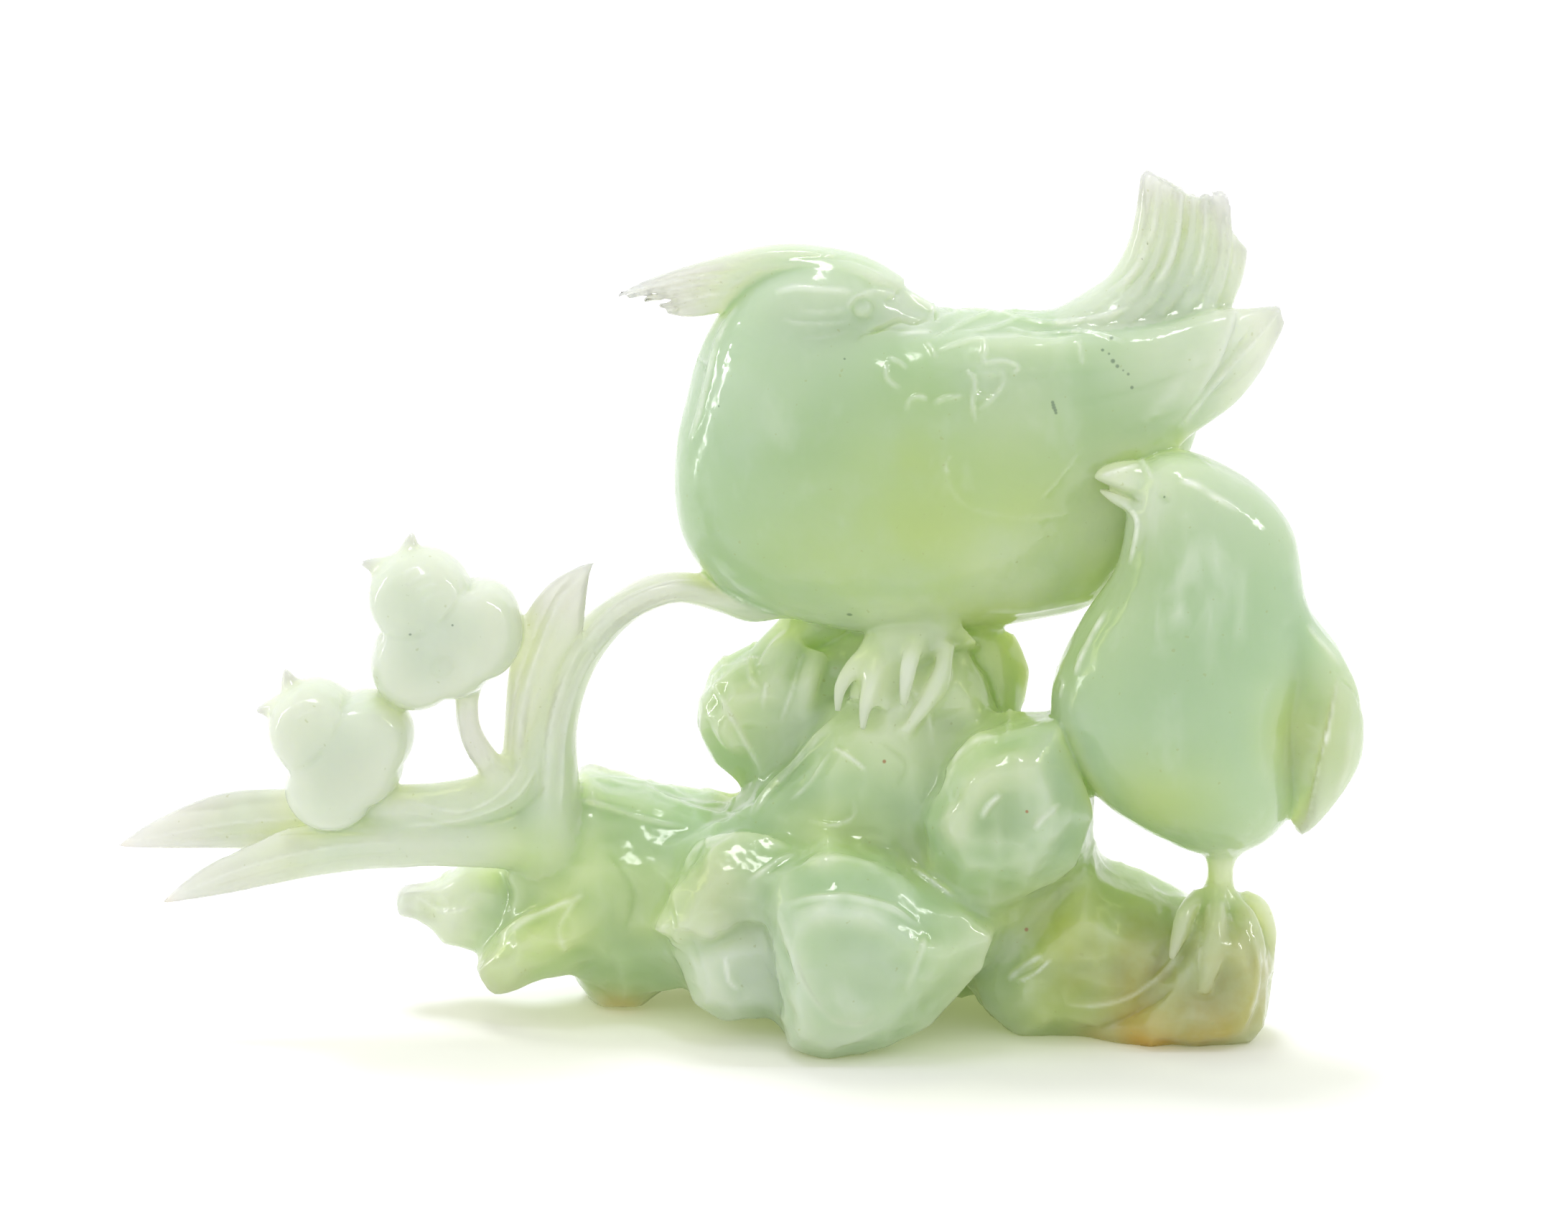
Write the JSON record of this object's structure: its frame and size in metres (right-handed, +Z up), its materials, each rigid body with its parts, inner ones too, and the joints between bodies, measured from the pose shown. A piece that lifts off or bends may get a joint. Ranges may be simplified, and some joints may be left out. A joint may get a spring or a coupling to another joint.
{
  "type": "jade bird carving",
  "caption": "Translucent pale green jade carving of a crested bird looking back over its tail and a small bird on rockwork, with long leaves and lobed blossoms.",
  "frame": {"origin": "middle of the underside: the middle of the carving's length and depth, at the level of its ground feet", "axes": "+X to the viewer's right along the length, from the leaf tips to the small bird; +Y away from the viewer; +Z up"},
  "size_m": [0.1998, 0.062, 0.1367],
  "materials": {
    "jade": "polished, glossy and translucent; bluish pale green, yellow-green in the thick parts and cream white in the thin ones, with an olive brown stain on the right foot"
  },
  "bodies": {
    "root": {"jade_carving": "jade"}
  },
  "joints": []
}
